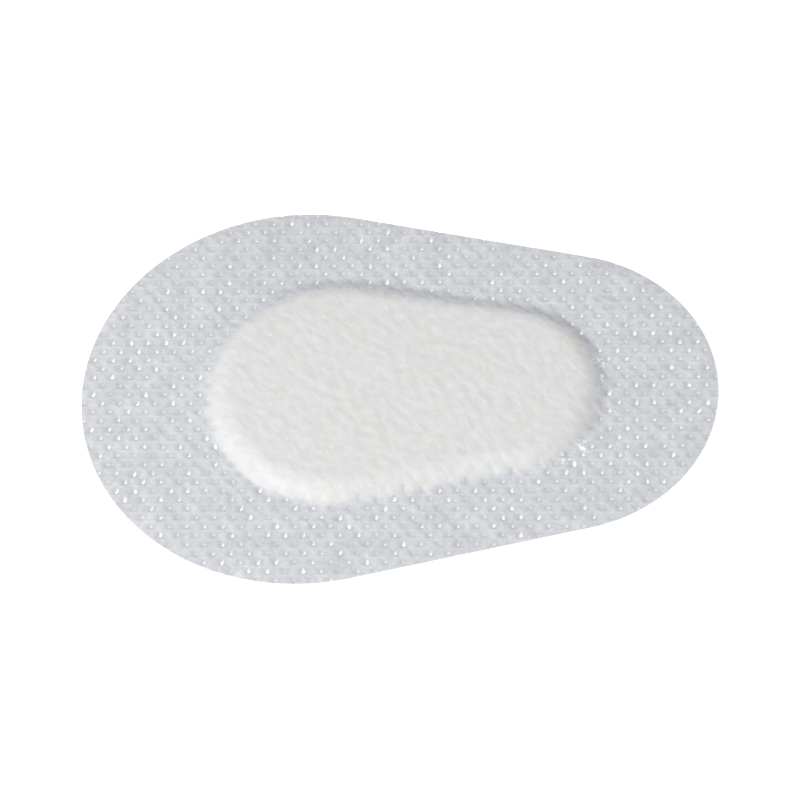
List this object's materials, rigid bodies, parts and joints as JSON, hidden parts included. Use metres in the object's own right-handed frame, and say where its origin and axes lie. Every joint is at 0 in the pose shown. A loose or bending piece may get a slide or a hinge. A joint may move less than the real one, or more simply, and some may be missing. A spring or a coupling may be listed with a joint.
{
  "type": "adhesive eye patch",
  "caption": "Egg-shaped stick-on eye patch: perforated nonwoven web domed over an oval pad, on a split release liner with a pull tab.",
  "frame": {"origin": "middle of the outline's box, on the surface that the release liner lies on", "axes": "+X along the patch towards its small end, +Y across it, +Z out of its outer face, away from the skin"},
  "size_m": [0.082, 0.057, 0.0022],
  "materials": {
    "web": "matte perforated spunlaced nonwoven",
    "adhesive": "clear tacky acrylic coat",
    "wadding": "soft needled white wadding",
    "film": "thin perforated non-stick film",
    "liner_paper": "siliconised white paper, slight gloss"
  },
  "bodies": {
    "liner": {"liner_small_half": "liner_paper", "web_tail": "web", "adhesive_tail": "adhesive"},
    "patch": {"backing_web": "web", "adhesive_coat": "adhesive", "pad_core": "wadding", "pad_film": "film"},
    "pull_liner": {"liner_big_half": "liner_paper"}
  },
  "joints": [
    {"name": "patch_lift", "type": "hinge", "parent": "liner", "child": "patch", "pos_m": [0.0315, 0, 0.00056], "axis": [0, 1, 0], "range_deg": [0, 75]},
    {"name": "liner_pull", "type": "slide", "parent": "liner", "child": "pull_liner", "axis": [-1, 0, 0], "range_m": [0, 0.04]}
  ]
}
